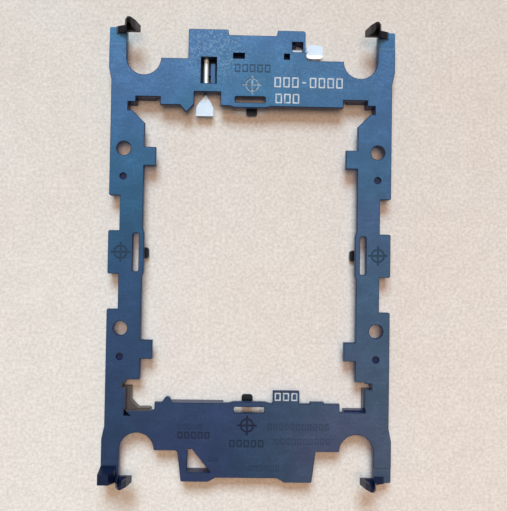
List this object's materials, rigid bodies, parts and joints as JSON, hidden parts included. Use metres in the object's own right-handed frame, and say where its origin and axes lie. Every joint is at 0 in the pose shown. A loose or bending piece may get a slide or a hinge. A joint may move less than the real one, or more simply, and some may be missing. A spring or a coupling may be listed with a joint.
{
  "type": "cpu cooler mounting bracket",
  "caption": "Rectangular plastic carrier frame that clips a processor under its heatsink, with corner hooks, nut notches and a bent wire lever to prise the two apart.",
  "frame": {"origin": "centre of the processor window, on the plane the frame lies on (its socket side)", "axes": "+Z towards the heatsink, +Y towards the end with the lever, +X towards the lever's finger tab"},
  "size_m": [0.0764, 0.12, 0.0132],
  "materials": {
    "carrier_plastic": "slate blue moulded plastic, fine satin texture",
    "lever_steel": "bright bare spring steel wire with coined ends"
  },
  "bodies": {
    "frame": {"carrier_frame": "carrier_plastic"},
    "lever": {"release_lever": "lever_steel"}
  },
  "joints": [
    {"name": "lever_pivot", "type": "hinge", "parent": "frame", "child": "lever", "pos_m": [-0.01245, 0.0486, 0.0026], "axis": [0, 1, 0], "range_deg": [0, 90]}
  ]
}
